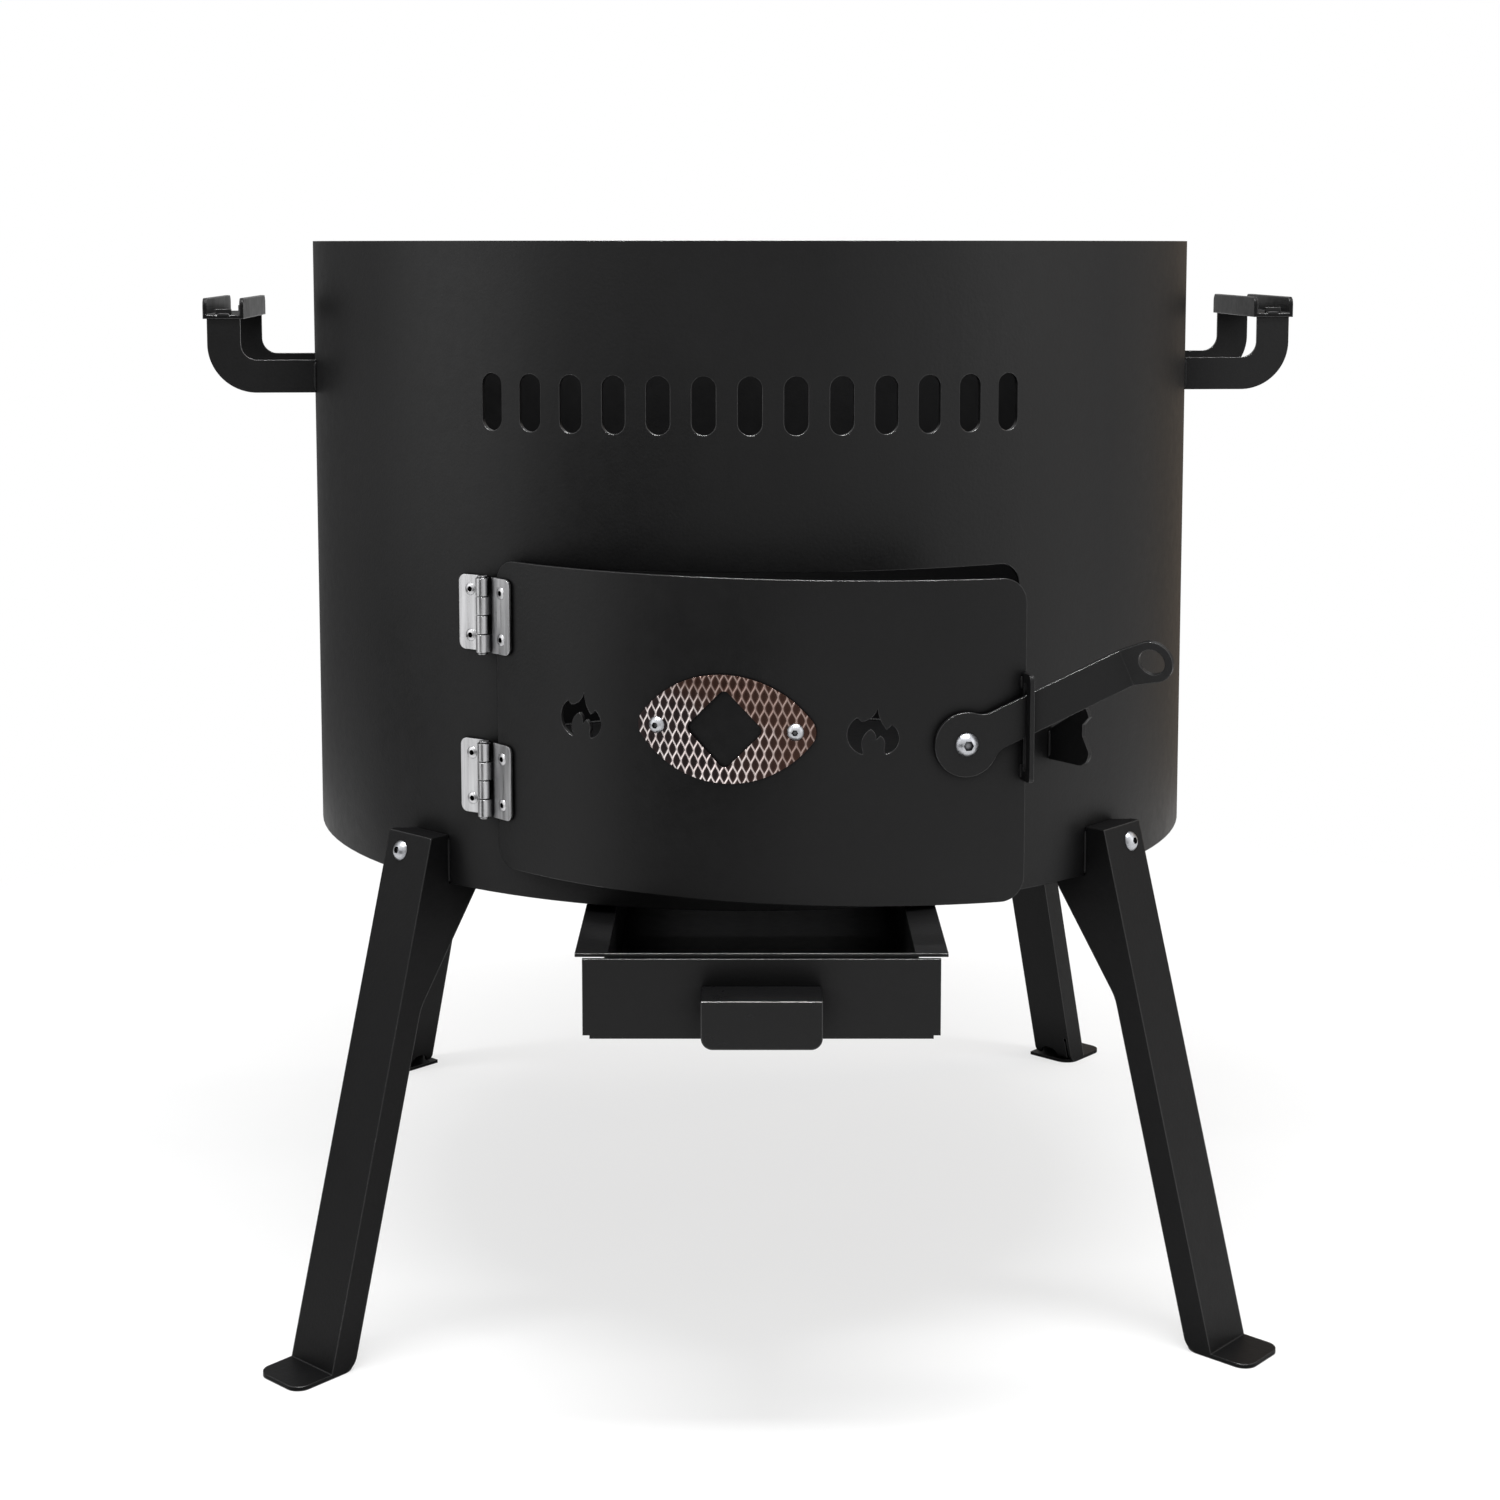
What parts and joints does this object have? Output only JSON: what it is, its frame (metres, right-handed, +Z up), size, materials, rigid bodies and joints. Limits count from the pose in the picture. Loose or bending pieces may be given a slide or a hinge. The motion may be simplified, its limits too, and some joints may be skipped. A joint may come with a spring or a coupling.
{
  "type": "cauldron stove",
  "caption": "Black sheet-steel cauldron stove on splayed legs, with a curved hinged fire door and lever latch, a pull-out ash drawer, a lift-out fire grate and carrying handles.",
  "frame": {"origin": "floor point on the drum's axis, in the middle of the four foot plates", "axes": "+Z up along the drum's axis, -Y towards the fire door's side of the stove, +X to the right of someone who faces the door"},
  "size_m": [0.5706, 0.5587, 0.522],
  "materials": {
    "black_coat": "semi-matte heat-resistant powder coat",
    "zinc_fastener": "bright zinc plate",
    "hinge_stainless": "bright stainless steel",
    "badge_stainless": "embossed satin stainless steel"
  },
  "bodies": {
    "stove": {"drum_shell": "black_coat", "drum_floor": "black_coat", "latch_keeper": "black_coat", "leg_front_left": "black_coat", "leg_front_right": "black_coat", "leg_rear_right": "black_coat", "leg_rear_left": "black_coat", "leg_bolts": "zinc_fastener", "leg_spacers": "zinc_fastener", "leg_nuts": "zinc_fastener", "left_handle_front_elbow": "black_coat", "left_handle_rear_elbow": "black_coat", "left_handle_grip": "black_coat", "right_handle_front_elbow": "black_coat", "right_handle_rear_elbow": "black_coat", "right_handle_grip": "black_coat", "left_drawer_rail": "black_coat", "right_drawer_rail": "black_coat", "upper_hinge_frame_leaf": "hinge_stainless", "lower_hinge_frame_leaf": "hinge_stainless", "upper_hinge_pin": "hinge_stainless", "lower_hinge_pin": "hinge_stainless", "frame_hinge_rivets": "hinge_stainless"},
    "door": {"door_panel": "black_coat", "upper_hinge_door_leaf": "hinge_stainless", "lower_hinge_door_leaf": "hinge_stainless", "door_hinge_rivets": "hinge_stainless", "badge_plate": "badge_stainless", "badge_screws": "zinc_fastener", "badge_nuts": "zinc_fastener", "latch_guide": "black_coat", "latch_washer": "zinc_fastener", "latch_pivot_bolt": "zinc_fastener", "latch_pivot_nut": "zinc_fastener"},
    "latch": {"latch_lever": "black_coat"},
    "drawer": {"ash_drawer_tray": "black_coat", "drawer_front": "black_coat", "drawer_pull": "black_coat"},
    "grate": {"fire_grate": "black_coat"}
  },
  "joints": [
    {"name": "door_hinge", "type": "hinge", "parent": "stove", "child": "door", "pos_m": [-0.12313, -0.20133, 0.305], "axis": [0, 0, -1], "range_deg": [-16.4, 100]},
    {"name": "latch_pivot", "type": "hinge", "parent": "door", "child": "latch", "pos_m": [0.09375, -0.27363, 0.3048], "axis": [0.1788, -0.9839, 0], "range_deg": [-19.2, 5.5]},
    {"name": "drawer_slide", "type": "slide", "parent": "stove", "child": "drawer", "axis": [0, -1, 0], "range_m": [-0.056, 0.14]},
    {"name": "grate_lift", "type": "slide", "parent": "stove", "child": "grate", "axis": [0, 0, 1], "range_m": [0, 0.25]}
  ]
}
